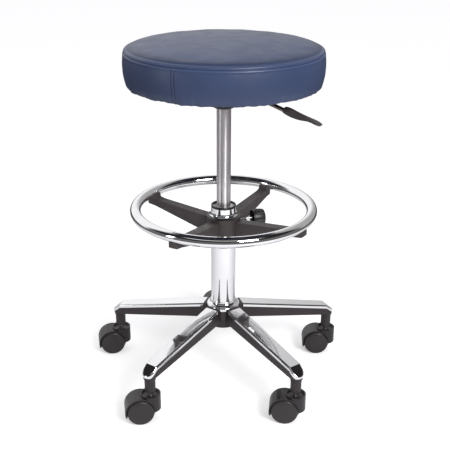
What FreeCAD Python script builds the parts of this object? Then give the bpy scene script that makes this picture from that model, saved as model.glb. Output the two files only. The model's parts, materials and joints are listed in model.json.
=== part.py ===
"""Adjustable swivel stool: round padded seat, gas lift, sliding foot ring, five-star base on castors.

Millimetres, +Z up. The origin is on the floor, on the axis of the column. -Y is the front.
Each function below makes one piece, or one set of identical pieces, of the stool.
"""
import FreeCAD, Part
import math
import os

# ---------------------------------------------------------------- driving dimensions

SEAT_R = 191.0              # widest radius of the upholstered seat
SEAT_BOTTOM_Z = 615.5       # lowest point of the seat's wrapped underside
SEAT_CROWN_Z = 703.0        # top of the seat's crown
VINYL = 1.6                 # thickness of the upholstery vinyl

COLUMN_R = 25.0             # outer tube of the gas lift
COLUMN_TOP_Z = 374.5
COLUMN_BOTTOM_Z = 113.0
CYLINDER_R = 14.0           # sliding cylinder of the gas lift
CYLINDER_BOTTOM_Z = 312.0
CYLINDER_TOP_Z = 592.0
RUN = 0.05                  # radial clearance of a running fit
CLEAR = 0.3                 # gap between moving faces that are no fit

RING_R = 175.8              # foot ring, centre line of its tube
RING_TUBE_R = 10.6
RING_Z = 366.0
SPIDER_ANGLES = (58.5, 148.5, 238.5, 328.5)
HUB_BOTTOM_Z = 294.0        # hub of the foot ring's spider
HUB_TOP_Z = 350.5
HUB_R = 34.0
KNOB_ANGLE = 18.0
KNOB_Z = 338.0

ARM_ANGLES = (18.0, 90.0, 162.0, 234.0, 306.0)
STEM_REACH = 238.0          # castor stems, from the column's axis
ARM_HALF_TIP = 14.0         # half width of a base arm at its round tip
ARM_TAPER_DEG = 0.66        # each side's taper, wider towards the hub
ARM_TOP_AT_AXIS = 161.5     # the arm's top line, carried back to the axis
ARM_TOP_SLOPE = 0.19
ARM_UNDER_AT_AXIS = 128.0
ARM_UNDER_SLOPE = 0.145
TIP_BREAK_R = 233.0         # where the arm's top breaks down towards the stem
TIP_SLOPE = 0.83
BASE_HUB_R = 33.0
BASE_HUB_BOTTOM_Z = 111.0
BASE_HUB_TOP_Z = 150.0
COLLAR_R = 34.2
SOCKET_BOTTOM_Z = 64.0
SOCKET_R = 10.6

WHEEL_R = 26.0
CASTER_TRAIL = 20.0
CASTER_YAWS = (-2.5, 0.0, 10.7, 9.0, -6.0)  # each castor's turn about its stem, in degrees
STEM_R = 5.5

LEVER_ANGLE = -30.0
LEVER_Z = 603.0
LEVER_ROD_R = 4.0
LEVER_PIVOT_R = 32.0        # the lever's pivot, from the axis

# ---------------------------------------------------------------- helpers


def vec(x, y, z):
    return FreeCAD.Vector(x, y, z)


UP = vec(0, 0, 1)
ORIGIN = vec(0, 0, 0)


def rod(radius, low_z, high_z, x=0.0, y=0.0):
    """An upright cylinder."""
    return Part.makeCylinder(radius, high_z - low_z, vec(x, y, low_z))


def tube(outer_r, inner_r, low_z, high_z, x=0.0, y=0.0):
    """An upright ring or sleeve."""
    return rod(outer_r, low_z, high_z, x, y).cut(rod(inner_r, low_z - 1, high_z + 1, x, y))


def bar(radius, start, end):
    """A cylinder between two points."""
    along = end.sub(start)
    return Part.makeCylinder(radius, along.Length, start, along)


def wire_of(points):
    """A closed outline; an entry (a, b, "arc") is the middle point of an arc to the next entry."""
    edges = []
    count = len(points)
    last = points[0]
    index = 1
    while index <= count:
        here = points[index % count]
        if len(here) == 3:
            after = points[(index + 1) % count]
            edges.append(Part.Arc(vec(last[0], 0, last[1]), vec(here[0], 0, here[1]),
                                  vec(after[0], 0, after[1])).toShape())
            last = after
            index += 2
        else:
            edges.append(Part.LineSegment(vec(last[0], 0, last[1]), vec(here[0], 0, here[1])).toShape())
            last = here
            index += 1
    return Part.Wire(edges)


def spun(points):
    """A solid of revolution about the Z axis from a closed outline of (radius, height) points."""
    return Part.Face(wire_of(points)).revolve(ORIGIN, UP, 360)


def dome(edge_r, edge_z, top_z):
    """Middle and end points of a spherical dome's arc, from a rim up or down to the axis."""
    height = top_z - edge_z
    ball_r = (edge_r ** 2 + height ** 2) / (2 * abs(height))
    half_r = edge_r / 2
    fall = ball_r - math.sqrt(ball_r ** 2 - half_r ** 2)
    return [(half_r, top_z - math.copysign(fall, height), "arc"), (0, top_z)]


def slab(points, half_width):
    """A (radius, height) outline lying along +X, thickened to both sides of the XZ plane."""
    face = Part.Face(wire_of(points))
    face.translate(vec(0, -half_width, 0))
    return face.extrude(vec(0, 2 * half_width, 0))


def turned(shape, degrees):
    """The shape turned about the column's axis."""
    result = shape.copy()
    result.rotate(ORIGIN, UP, degrees)
    return result


def box(low, high):
    return Part.makeBox(high[0] - low[0], high[1] - low[1], high[2] - low[2], vec(*low))


def group(shapes):
    return Part.makeCompound(shapes)


def save(name, shape):
    shape.exportStep("parts/" + name + ".step")


# ---------------------------------------------------------------- five-star base


def arm_top(reach):
    return ARM_TOP_AT_AXIS - ARM_TOP_SLOPE * reach


def arm_under(reach):
    return ARM_UNDER_AT_AXIS - ARM_UNDER_SLOPE * reach


def arm_plan(inset, start_reach):
    """Plan outline of an arm along +X, with a round tip about the stem, as a tall prism."""
    taper = math.radians(ARM_TAPER_DEG)
    tip_r = ARM_HALF_TIP - inset
    tangent_x = STEM_REACH + tip_r * math.sin(taper)
    tangent_y = tip_r * math.cos(taper)
    root_y = tip_r / math.cos(taper) + (STEM_REACH - start_reach) * math.tan(taper)
    a = vec(start_reach, -root_y, 0)
    b = vec(tangent_x, -tangent_y, 0)
    c = vec(STEM_REACH + tip_r, 0, 0)
    d = vec(tangent_x, tangent_y, 0)
    e = vec(start_reach, root_y, 0)
    edges = [Part.LineSegment(a, b).toShape(), Part.Arc(b, c, d).toShape(),
             Part.LineSegment(d, e).toShape(), Part.LineSegment(e, a).toShape()]
    return Part.Face(Part.Wire(edges)).extrude(vec(0, 0, 300))


def under_arm_top(drop, start_reach):
    """Everything below the arm's top line lowered by drop, in the arm's own XZ plane."""
    end_reach = STEM_REACH + ARM_HALF_TIP + 5
    break_z = arm_top(TIP_BREAK_R) - drop
    end_z = break_z - (end_reach - TIP_BREAK_R) * TIP_SLOPE
    outline = [(start_reach, 0), (start_reach, arm_top(start_reach) - drop), (TIP_BREAK_R, break_z),
               (end_reach, end_z), (end_reach, 0)]
    return slab(outline, 40)


def arm_block(inset, drop, edge_round, start_reach):
    """The arm's outer form with its long top edges rounded."""
    block = arm_plan(inset, start_reach).common(under_arm_top(drop, start_reach))
    rounded = []
    for edge in block.Edges:
        middle = edge.CenterOfMass
        on_top = middle.z > arm_top(middle.x) - drop - 1.5 or middle.x > TIP_BREAK_R
        straight_up = abs(edge.tangentAt(edge.FirstParameter).z) > 0.95
        across = edge.BoundBox.XLength < 0.01
        if on_top and not straight_up and not across and middle.z > 70:
            rounded.append(edge)
    return block.makeFillet(edge_round, rounded)


COVER_SKIN = 1.3
COVER_DEPTH = 7.4           # height of the chromed cover's rim
COVER_ROUND = 3.4
COVER_START_R = 39.0
COVER_END_Z = 97.3          # the rim's lower edge round the arm's tip


def arm_cover():
    """Pressed, chromed cover that snaps over an arm."""
    outer = arm_block(0.0, 0.0, COVER_ROUND, 20.0)
    inner = arm_block(COVER_SKIN, COVER_SKIN, COVER_ROUND - COVER_SKIN, 20.0)
    skin = outer.cut(inner)
    skin = skin.cut(under_arm_top(COVER_DEPTH, 10.0))
    return skin.cut(box((0, -40, 0), (300, 40, COVER_END_Z))).cut(box((0, -40, 0), (COVER_START_R, 40, 200)))


def arm_body():
    """Moulded arm under its cover, with an open rib channel below and the castor socket at its tip."""
    block = arm_block(COVER_SKIN, COVER_SKIN, COVER_ROUND - COVER_SKIN, 20.0)
    beyond = STEM_REACH + 60
    arm = block.cut(slab([(0, 0), (0, arm_under(0)), (beyond, arm_under(beyond)), (beyond, 0)], 60))
    socket = rod(SOCKET_R, SOCKET_BOTTOM_Z, 100, STEM_REACH)
    neck_z = arm_under(STEM_REACH) + 1.0
    neck = Part.makeCone(SOCKET_R, ARM_HALF_TIP - COVER_SKIN, 9.0, vec(STEM_REACH, 0, neck_z - 9.0), UP)
    wall = STEM_REACH - SOCKET_R
    gusset_outline = [(wall - 10, arm_under(wall - 10)), (wall - 2.2, 93.4, "arc"), (wall + 1, 85.0),
                      (STEM_REACH, 85.0), (STEM_REACH, 100), (wall - 10, 100)]
    gusset = slab(gusset_outline, 5.0)
    channel_outline = [(46, 60), (46, arm_top(46) - 8), (STEM_REACH - 22, arm_top(STEM_REACH - 22) - 8),
                       (STEM_REACH - 22, 60)]
    channel = arm_plan(COVER_SKIN + 3.0, 46.0).common(slab(channel_outline, 30))
    ribs = []
    for reach in (88, 130, 172):
        ribs.append(box((reach - 1.25, -20, arm_under(reach) + 4), (reach + 1.25, 20, 170)))
    ribs.append(box((40, -1.25, 112), (STEM_REACH - 20, 1.25, 170)))
    channel = channel.cut(ribs[0].fuse(ribs[1:]))
    bore = rod(STEM_R + 0.05, SOCKET_BOTTOM_Z - 1, SOCKET_BOTTOM_Z + 40, STEM_REACH)
    return arm.fuse([socket, neck, gusset]).cut(channel).cut(bore)


COLUMN_TAPER_TOP_Z = 160.0
COLUMN_FOOT_R = 23.8


def column_outside(gap):
    """The outer tube's outside form: straight, with a slight taper where it wedges in the base."""
    foot = Part.makeCone(COLUMN_FOOT_R + gap, COLUMN_R + gap, COLUMN_TAPER_TOP_Z - COLUMN_BOTTOM_Z,
                         vec(0, 0, COLUMN_BOTTOM_Z), UP)
    return foot.fuse(rod(COLUMN_R + gap, COLUMN_TAPER_TOP_Z, COLUMN_TOP_Z))


def star_base():
    """Five moulded arms and the hub that the lift's tube wedges in."""
    hub = spun([(0, BASE_HUB_BOTTOM_Z), (BASE_HUB_R - 2.5, BASE_HUB_BOTTOM_Z),
                (BASE_HUB_R - 0.7, BASE_HUB_BOTTOM_Z + 0.7, "arc"), (BASE_HUB_R, BASE_HUB_BOTTOM_Z + 2.5),
                (BASE_HUB_R, BASE_HUB_TOP_Z), (0, BASE_HUB_TOP_Z)])
    arms = [turned(arm_body(), angle) for angle in ARM_ANGLES]
    base = hub.fuse(arms)
    base = base.cut(rod(COLLAR_R + 0.3, BASE_HUB_TOP_Z, 200))
    base = base.cut(column_outside(0.0))
    return base.cut(rod(18.0, 100, 120)).removeSplitter()


def hub_collar():
    """Chromed, stepped ring round the foot of the column, on top of the base's hub."""
    step_r = COLLAR_R - 2.5
    return spun([(COLUMN_R, BASE_HUB_TOP_Z), (COLLAR_R, BASE_HUB_TOP_Z), (COLLAR_R, 154.4),
                 (COLLAR_R - 0.8, 156.3, "arc"), (step_r, 157.2), (step_r, 158.0),
                 (COLUMN_R + 2.2, 160.8, "arc"), (COLUMN_R + 0.8, 165.5),
                 (COLUMN_R, 165.5)]).cut(column_outside(0.0))


# ---------------------------------------------------------------- gas lift


def column_tube():
    """Chromed outer tube, closed at the foot but for the piston rod's hole."""
    bore_r = COLUMN_R - 2.0
    bore = spun([(0, COLUMN_BOTTOM_Z + 4), (COLUMN_FOOT_R - 2.2, COLUMN_BOTTOM_Z + 4),
                 (bore_r, COLUMN_TAPER_TOP_Z), (bore_r, COLUMN_TOP_Z + 1), (0, COLUMN_TOP_Z + 1)])
    body = column_outside(0.0)
    rim = [edge for edge in body.Edges if edge.BoundBox.ZMin > COLUMN_TOP_Z - 0.01]
    return body.makeFillet(0.8, rim).cut(bore).cut(rod(4.3, 100, 130))


def guide_bush():
    """Plastic bush that guides the cylinder, set just below the tube's rim."""
    outer_r = COLUMN_R - 2.0
    inner_r = CYLINDER_R + RUN
    top = COLUMN_TOP_Z - 5.0
    return spun([(inner_r, 318), (outer_r, 318), (outer_r, top), (inner_r + 3.0, top),
                 (inner_r, top - 3.0)])


BEARING_Z = COLUMN_BOTTOM_Z + 4.0
ROD_R = 4.0
PISTON_Z = 328.0


def bearing_lower_race():
    return tube(11.0, ROD_R + CLEAR + 0.5, BEARING_Z, BEARING_Z + 1.6)


def bearing_balls():
    """Ring of balls that the piston rod's load turns on."""
    balls = []
    for index in range(10):
        angle = math.radians(36 * index)
        centre = vec(8.0 * math.cos(angle), 8.0 * math.sin(angle), BEARING_Z + 1.6 + 1.55)
        balls.append(Part.makeSphere(1.5, centre))
    return group(balls)


def bearing_upper_race():
    low_z = BEARING_Z + 1.6 + 3.1 + 0.25
    return tube(11.0, ROD_R, low_z, low_z + 1.8)


def rubber_bumper():
    """Buffer on the rod that softens the end of the seat's downward travel."""
    low_z = BEARING_Z + 6.75
    return spun([(ROD_R, low_z), (10.5, low_z), (11.0, low_z + 2.0, "arc"), (9.5, low_z + 4.0),
                 (ROD_R, low_z + 4.0)])


def retaining_clip():
    """Clip that holds the rod's foot under the tube's floor."""
    ring = tube(7.5, ROD_R - 1.0, COLUMN_BOTTOM_Z - 1.7, COLUMN_BOTTOM_Z - 0.5)
    return ring.cut(box((0, -1.2, 100), (12, 1.2, 120)))


def piston_rod():
    """Rod from the thrust bearing at the tube's foot up to the piston."""
    body = rod(ROD_R, COLUMN_BOTTOM_Z - 1.9, PISTON_Z)
    groove = tube(ROD_R + 1, ROD_R - 1.0, COLUMN_BOTTOM_Z - 1.7, COLUMN_BOTTOM_Z - 0.5)
    return body.cut(groove)


def piston():
    """Piston with its seal groove, inside the cylinder."""
    body = rod(CYLINDER_R - 2.0 - RUN, PISTON_Z, PISTON_Z + 12)
    groove = tube(CYLINDER_R, CYLINDER_R - 4.0, PISTON_Z + 4.5, PISTON_Z + 7.5)
    return body.cut(groove)


def piston_seal():
    return tube(CYLINDER_R - 2.0 - RUN, CYLINDER_R - 4.0, PISTON_Z + 4.5, PISTON_Z + 7.5)


TAPER_START_Z = 568.0
TAPER_TOP_R = 12.9


def cylinder_outside():
    straight = rod(CYLINDER_R, CYLINDER_BOTTOM_Z, TAPER_START_Z)
    taper = Part.makeCone(CYLINDER_R, TAPER_TOP_R, CYLINDER_TOP_Z - TAPER_START_Z,
                          vec(0, 0, TAPER_START_Z), UP)
    return straight.fuse(taper)


def gas_cylinder():
    """Chromed pressure cylinder with a tapered top and a valve passage."""
    inside = rod(CYLINDER_R - 2.0, CYLINDER_BOTTOM_Z - 1, CYLINDER_TOP_Z - 30)
    passage = rod(4.0 + RUN, CYLINDER_TOP_Z - 40, CYLINDER_TOP_Z + 1)
    return cylinder_outside().cut(inside).cut(passage)


def cylinder_gland():
    """Sealed guide of the piston rod in the cylinder's lower end."""
    return tube(CYLINDER_R - 2.0, ROD_R + RUN, CYLINDER_BOTTOM_Z, CYLINDER_BOTTOM_Z + 14)


def release_button():
    """Valve pin in the top of the cylinder, pressed by the lever's inner end."""
    top = LEVER_Z - LEVER_ROD_R - CLEAR
    return spun([(0, CYLINDER_TOP_Z - 24), (4.0, CYLINDER_TOP_Z - 24), (4.0, top - 1.4)]
                + dome(4.0, top - 1.4, top))


# ---------------------------------------------------------------- seat mechanism

PLATE_LOW_Z = 611.5
BOARD_LOW_Z = 618.5
BOARD_R = 172.0
BOARD_THICK = 12.0
BOLT_OFFSET = 57.5          # bolt holes, from the axis along X and along Y


def lever_direction():
    angle = math.radians(LEVER_ANGLE)
    return vec(math.cos(angle), math.sin(angle), 0)


def lever_tunnel():
    """Room for the lever's rod through the side of the taper socket and its boot."""
    return turned(box((-9, -6.5, LEVER_Z - 9), (60, 6.5, LEVER_Z + 7)), LEVER_ANGLE)


def taper_socket():
    """Turned steel socket that wedges on the cylinder's taper, inside its rounded boot form."""
    outside = spun([(0, 571.5), (17.5, 571.5), (20.2, 572.7, "arc"), (21.3, 575.5), (22.5, 592),
                    (25.0, PLATE_LOW_Z), (0, PLATE_LOW_Z)])
    hollow = rod(11.5, CYLINDER_TOP_Z, PLATE_LOW_Z + 1)
    body = outside.cut(cylinder_outside()).cut(hollow)
    body = body.cut(rod(CYLINDER_R, 560, TAPER_START_Z + 4))
    return body.cut(lever_tunnel())


def seat_plate():
    """Pressed steel plate under the seat board, with folded edges, bolt holes and lever ears."""
    half = 78.0
    top = PLATE_LOW_Z + 2.5
    flat = box((-half, -half, PLATE_LOW_Z), (half, half, top))
    raised = []
    for x in (-1, 1):
        for y in (-1, 1):
            pad = rod(15.0, PLATE_LOW_Z, BOARD_LOW_Z, x * BOLT_OFFSET, y * BOLT_OFFSET)
            raised.append(pad)
    upright = [edge for edge in flat.Edges if edge.BoundBox.ZLength > 2 and edge.BoundBox.XLength < 0.01]
    rounded_flat = flat.makeFillet(16.0, upright)
    plate = rounded_flat.fuse(raised)
    for x in (-1, 1):
        for y in (-1, 1):
            hole = rod(3.4, 600, 630, x * BOLT_OFFSET, y * BOLT_OFFSET)
            plate = plate.cut(hole)
    for side in (-1, 1):
        low_y = 7.0 if side > 0 else -9.5
        ear = box((LEVER_PIVOT_R - 7, low_y, LEVER_Z - 7), (LEVER_PIVOT_R + 7, low_y + 2.5, PLATE_LOW_Z + 1))
        plate = plate.fuse(turned(ear, LEVER_ANGLE))
    pin_hole = turned(bar(2.5, vec(LEVER_PIVOT_R, -12, LEVER_Z), vec(LEVER_PIVOT_R, 12, LEVER_Z)), LEVER_ANGLE)
    return plate.cut(pin_hole).removeSplitter()


def lever_pin():
    """Rivet that the lever tips on, fixed in the plate's two ears."""
    shaft = bar(2.5, vec(LEVER_PIVOT_R, -9.5, LEVER_Z), vec(LEVER_PIVOT_R, 9.5, LEVER_Z))
    head = bar(4.0, vec(LEVER_PIVOT_R, -11.5, LEVER_Z), vec(LEVER_PIVOT_R, -9.5, LEVER_Z))
    tail = bar(4.0, vec(LEVER_PIVOT_R, 9.5, LEVER_Z), vec(LEVER_PIVOT_R, 11.5, LEVER_Z))
    return turned(shaft.fuse([head, tail]), LEVER_ANGLE)


LEVER_BEND_R = 58.0
LEVER_DROP_DEG = 16.5
PADDLE_START_R = 128.0
PADDLE_LENGTH = 76.5


def lever_point(along, above=0.0, aside=0.0):
    """A point at a distance past the rod's bend, measured down the sloping part of the lever."""
    slope = math.radians(LEVER_DROP_DEG)
    x = LEVER_BEND_R + along * math.cos(slope) + above * math.sin(slope)
    z = LEVER_Z - along * math.sin(slope) + above * math.cos(slope)
    return vec(x, aside, z)


def paddle_start():
    return (PADDLE_START_R - LEVER_BEND_R) / math.cos(math.radians(LEVER_DROP_DEG))


def lever_rod():
    """Bent steel rod from over the valve pin to inside the paddle."""
    bend_r = 40.0
    slope = math.radians(LEVER_DROP_DEG)
    tangent = bend_r * math.tan(slope / 2)
    start = vec(-2.0, 0, LEVER_Z)
    first = vec(LEVER_BEND_R - tangent, 0, LEVER_Z)
    middle_turn = slope / 2
    middle = vec(first.x + bend_r * math.sin(middle_turn), 0, LEVER_Z - bend_r * (1 - math.cos(middle_turn)))
    second = lever_point(tangent)
    end = lever_point(paddle_start() + 30.0)
    path = Part.Wire([Part.LineSegment(start, first).toShape(), Part.Arc(first, middle, second).toShape(),
                      Part.LineSegment(second, end).toShape()])
    section = Part.Wire([Part.Circle(start, vec(1, 0, 0), LEVER_ROD_R).toShape()])
    body = path.makePipeShell([section], True, False)
    eye = bar(6.0, vec(LEVER_PIVOT_R, -5.0, LEVER_Z), vec(LEVER_PIVOT_R, 5.0, LEVER_Z))
    hole = bar(2.5 + RUN, vec(LEVER_PIVOT_R, -8, LEVER_Z), vec(LEVER_PIVOT_R, 8, LEVER_Z))
    return turned(body.fuse(eye).cut(hole), LEVER_ANGLE)


def lever_paddle():
    """Moulded grip: a thick barrel that thins to a flat blade with a rounded tip."""
    start = paddle_start()
    sections = []
    stations = ((0.0, 1.3, 6.2, 7.2), (0.05, 1.5, 7.0, 8.4), (0.42, 1.6, 6.2, 9.6), (0.56, 2.8, 4.6, 10.2),
                (0.66, 3.9, 3.2, 10.4), (0.94, 4.0, 2.4, 9.2), (1.0, 3.9, 1.4, 6.5))
    for part, above, half_high, half_wide in stations:
        centre = lever_point(start + part * PADDLE_LENGTH, above)
        slope = math.radians(LEVER_DROP_DEG)
        ellipse = Part.Ellipse(ORIGIN, half_wide, half_high).toShape()
        wire = Part.Wire([ellipse])
        wire.rotate(ORIGIN, UP, 90)
        wire.rotate(ORIGIN, vec(0, 1, 0), 90 + math.degrees(slope))
        wire.translate(centre)
        sections.append(wire)
    blade = Part.makeLoft(sections, True, False)
    bore = bar(LEVER_ROD_R, lever_point(start - 5), lever_point(start + 30.0))
    return turned(blade.cut(bore), LEVER_ANGLE)


# ---------------------------------------------------------------- padded seat


def seat_outline(inset):
    """Half section of the seat, inset evenly from its outer skin."""
    low = SEAT_BOTTOM_Z + inset
    return [(0, low), (176.0 - inset, low), (182.5 - inset, low + 2.5, "arc"), (185.5 - inset, low + 9.0),
            (SEAT_R - inset, 651.0, "arc"), (SEAT_R - 2.5 - inset, 681.0),
            (SEAT_R - 7.0 - inset, 687.8 - 0.7 * inset, "arc"), (SEAT_R - 19.0 - inset, 691.5 - inset)
            ] + dome(SEAT_R - 19.0 - inset, 691.5 - inset, SEAT_CROWN_Z - inset)


def seat_cover():
    """Vinyl cover: crowned top, deep side band and the strip turned in under the board."""
    outer = spun(seat_outline(0.0))
    inner = spun(seat_outline(VINYL))
    mouth = rod(150.0, SEAT_BOTTOM_Z - 1, SEAT_BOTTOM_Z + VINYL + 1)
    return outer.cut(inner).cut(mouth)


def seat_board():
    """Plywood disc that carries the padding and takes the bolts."""
    board = rod(BOARD_R, BOARD_LOW_Z, BOARD_LOW_Z + BOARD_THICK)
    for x in (-1, 1):
        for y in (-1, 1):
            board = board.cut(rod(4.0, 600, 640, x * BOLT_OFFSET, y * BOLT_OFFSET))
    return board


def foam_pad():
    """Foam over and round the board."""
    foam = spun(seat_outline(VINYL)).cut(rod(BOARD_R, 600, BOARD_LOW_Z + BOARD_THICK))
    for x in (-1, 1):
        for y in (-1, 1):
            foam = foam.cut(rod(9.0, 620, BOARD_LOW_Z + BOARD_THICK + 3, x * BOLT_OFFSET, y * BOLT_OFFSET))
    return foam


def tee_nuts():
    """Flanged nuts pressed in the board from above."""
    nuts = []
    top = BOARD_LOW_Z + BOARD_THICK
    for x in (-1, 1):
        for y in (-1, 1):
            flange = rod(8.5, top, top + 1.4, x * BOLT_OFFSET, y * BOLT_OFFSET)
            barrel = rod(4.0, top - 8, top, x * BOLT_OFFSET, y * BOLT_OFFSET)
            thread = rod(3.0, top - 9, top + 3, x * BOLT_OFFSET, y * BOLT_OFFSET)
            nuts.append(flange.fuse(barrel).cut(thread))
    return group(nuts)


def hexagon(across_flats, low_z, high_z, x=0.0, y=0.0):
    corner = across_flats / math.sqrt(3)
    points = []
    for index in range(7):
        angle = math.radians(60 * index)
        points.append(vec(x + corner * math.cos(angle), y + corner * math.sin(angle), low_z))
    return Part.Face(Part.makePolygon(points)).extrude(vec(0, 0, high_z - low_z))


def plate_bolts():
    """Hexagon bolts and washers that hold the plate to the board."""
    bolts = []
    for x in (-1, 1):
        for y in (-1, 1):
            px = x * BOLT_OFFSET
            py = y * BOLT_OFFSET
            washer = rod(6.0, PLATE_LOW_Z - 1.5, PLATE_LOW_Z, px, py)
            head = hexagon(10.0, PLATE_LOW_Z - 5.5, PLATE_LOW_Z - 1.5, px, py)
            shank = rod(3.0, PLATE_LOW_Z - 2, BOARD_LOW_Z + BOARD_THICK + 1, px, py)
            bolts.append(head.fuse([washer, shank]))
    return group(bolts)


def base_cloth():
    """Thin lining cloth that closes the seat's underside inside the turned-in vinyl."""
    cloth = rod(149.5, BOARD_LOW_Z - 0.5, BOARD_LOW_Z)
    for x in (-1, 1):
        for y in (-1, 1):
            cloth = cloth.cut(rod(15.5, 600, 640, x * BOLT_OFFSET, y * BOLT_OFFSET))
    return cloth


# ---------------------------------------------------------------- foot ring


def foot_ring():
    """Chromed hoop bent from one tube."""
    outer = Part.makeTorus(RING_R, RING_TUBE_R, vec(0, 0, RING_Z))
    inner = Part.makeTorus(RING_R, RING_TUBE_R - 1.5, vec(0, 0, RING_Z))
    return outer.cut(inner)


BUSH_OUTER_R = COLUMN_R + RUN + 2.4
BOSS_R = 8.5
BOSS_END_R = 46.0
SCREW_R = 3.0


def knob_point(reach):
    angle = math.radians(KNOB_ANGLE)
    return vec(reach * math.cos(angle), reach * math.sin(angle), KNOB_Z)


SCREW_SEAT_Z = 347.0


def spider_arm():
    """One arm along +X, rising to a saddle that holds the ring from below and inside."""
    outline = [(20, 306.5), (20, 344.0), (150, 354.5), (160.5, 357.0), (162.3, 365.5), (RING_R, RING_Z),
               (185.0, 356.0), (184.2, 348.2, "arc"), (177.0, 343.5), (163.0, 342.0)]
    side = slab(outline, 30)
    half_root = 11.0
    half_tip = 9.6
    reach = 175.0
    a = vec(15, -half_root, 0)
    b = vec(reach, -half_tip, 0)
    c = vec(reach + half_tip, 0, 0)
    d = vec(reach, half_tip, 0)
    e = vec(15, half_root, 0)
    edges = [Part.LineSegment(a, b).toShape(), Part.Arc(b, c, d).toShape(),
             Part.LineSegment(d, e).toShape(), Part.LineSegment(e, a).toShape()]
    plan = Part.Face(Part.Wire(edges)).extrude(vec(0, 0, 500))
    arm = side.common(plan)
    screw_hole = rod(2.2, 300, RING_Z, RING_R)
    head_room = rod(4.6, 300, SCREW_SEAT_Z, RING_R)
    return arm.cut(screw_hole).cut(head_room)


def ring_spider():
    """Moulded hub and four arms that carry the foot ring, with a boss for the clamp screw."""
    hub = spun([(0, HUB_BOTTOM_Z), (HUB_R - 1.5, HUB_BOTTOM_Z), (HUB_R, HUB_BOTTOM_Z + 1.5),
                (HUB_R, HUB_TOP_Z - 1.5), (HUB_R - 1.5, HUB_TOP_Z), (0, HUB_TOP_Z)])
    arms = [turned(spider_arm(), angle) for angle in SPIDER_ANGLES]
    boss = bar(BOSS_R, knob_point(10), knob_point(BOSS_END_R))
    body = hub.fuse(arms + [boss])
    body = body.cut(rod(BUSH_OUTER_R + RUN, 200, 500))
    body = body.cut(bar(SCREW_R + RUN, knob_point(20), knob_point(60)))
    body = body.cut(bar(4.0 + RUN, knob_point(20), knob_point(35.5)))
    return body.cut(Part.makeTorus(RING_R, RING_TUBE_R, vec(0, 0, RING_Z))).removeSplitter()


def ring_bush():
    """Split plastic sleeve between the column and the spider's hub."""
    inner_r = COLUMN_R + RUN
    sleeve = tube(BUSH_OUTER_R, inner_r, HUB_BOTTOM_Z - 1.0, HUB_TOP_Z + 0.5)
    lip = tube(HUB_R - 2.0, inner_r, HUB_BOTTOM_Z - 3.0, HUB_BOTTOM_Z - CLEAR)
    slot = turned(box((10, -1.0, 200), (50, 1.0, 400)), KNOB_ANGLE + 180)
    return sleeve.fuse(lip).cut(slot)


def ring_trim():
    """Chromed flared trim on top of the bush."""
    low = HUB_TOP_Z + 0.5
    inner_r = COLUMN_R + 0.1
    return spun([(inner_r, low), (HUB_R - 0.4, low), (HUB_R - 0.4, low + 0.8), (27.9, low + 3.2, "arc"),
                 (inner_r + 0.7, low + 8.5), (inner_r, low + 8.5)])


def ring_screws():
    """Screws from below that hold the ring in the four saddles."""
    screws = []
    tube_low = RING_Z - RING_TUBE_R
    for angle in SPIDER_ANGLES:
        head = rod(4.4, SCREW_SEAT_Z - 3.0, SCREW_SEAT_Z, RING_R)
        shank = rod(2.2, SCREW_SEAT_Z, tube_low + 1.3, RING_R)
        drive = hexagon(3.0, SCREW_SEAT_Z - 4.0, SCREW_SEAT_Z - 1.2, RING_R)
        screws.append(turned(head.fuse(shank).cut(drive), angle))
    return group(screws)


def screw_windows():
    """Room for the ring's screws through the wall of its tube."""
    holes = []
    for angle in SPIDER_ANGLES:
        holes.append(turned(rod(2.2, RING_Z - RING_TUBE_R - 1, RING_Z - RING_TUBE_R + 1.3, RING_R), angle))
    return holes


def clamp_pad():
    """Plastic slug that the clamp screw pushes against the bush."""
    return bar(4.0, knob_point(BUSH_OUTER_R + RUN + CLEAR), knob_point(33.5))


def clamp_screw():
    return bar(SCREW_R, knob_point(33.6), knob_point(69.0))


def clamp_knob():
    """Hollow round knob on the clamp screw, open towards the column."""
    start = 61.0
    profile = [(0, 7.0), (6.0, 7.0), (6.0, 21.5), (13.6, 20.5), (14.4, 0), (16.0, 0), (17.2, 12.0, "arc"),
               (15.5, 24.0)] + dome(15.5, 24.0, 27.0)
    body = spun(profile)
    grips = []
    for index in range(8):
        angle = math.radians(45 * index)
        grips.append(rod(3.0, 6.0, 40.0, 19.0 * math.cos(angle), 19.0 * math.sin(angle)))
    body = body.cut(grips[0].fuse(grips[1:]))
    body = body.cut(rod(SCREW_R, -5, 69.0 - start))
    body.rotate(ORIGIN, vec(0, 1, 0), 90)
    body.translate(vec(start, 0, KNOB_Z))
    return turned(body, KNOB_ANGLE)


# ---------------------------------------------------------------- castors

HOOD_R = 20.0
HOOD_TOP_Z = 58.0
GUARD_R = 30.4
WELL_R = 27.4
WEB_HALF = 6.5
FLANGE_R = 8.0
AXLE_R = 3.0


def caster_place(shape, index):
    """Moves a castor piece from its own frame, stem on the axis, to the tip of a base arm."""
    result = shape.copy()
    angle = math.radians(ARM_ANGLES[index])
    result.rotate(ORIGIN, UP, CASTER_YAWS[index])
    result.translate(vec(STEM_REACH * math.cos(angle), STEM_REACH * math.sin(angle), 0))
    return result


def caster_stem():
    """Steel stem: grooved shank up in the arm's socket, flange, and pivot down in the hood."""
    return spun([(0, 36), (STEM_R - 1.0, 36), (STEM_R - 1.0, 57.6), (FLANGE_R, 60.4), (FLANGE_R, 63.0),
                 (STEM_R, 64.0), (STEM_R, 92.0), (STEM_R - 1.2, 92.0), (STEM_R - 1.2, 95.0),
                 (STEM_R, 95.0), (STEM_R, 101.0), (STEM_R - 1.5, 103.0), (0, 103.0)])


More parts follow.
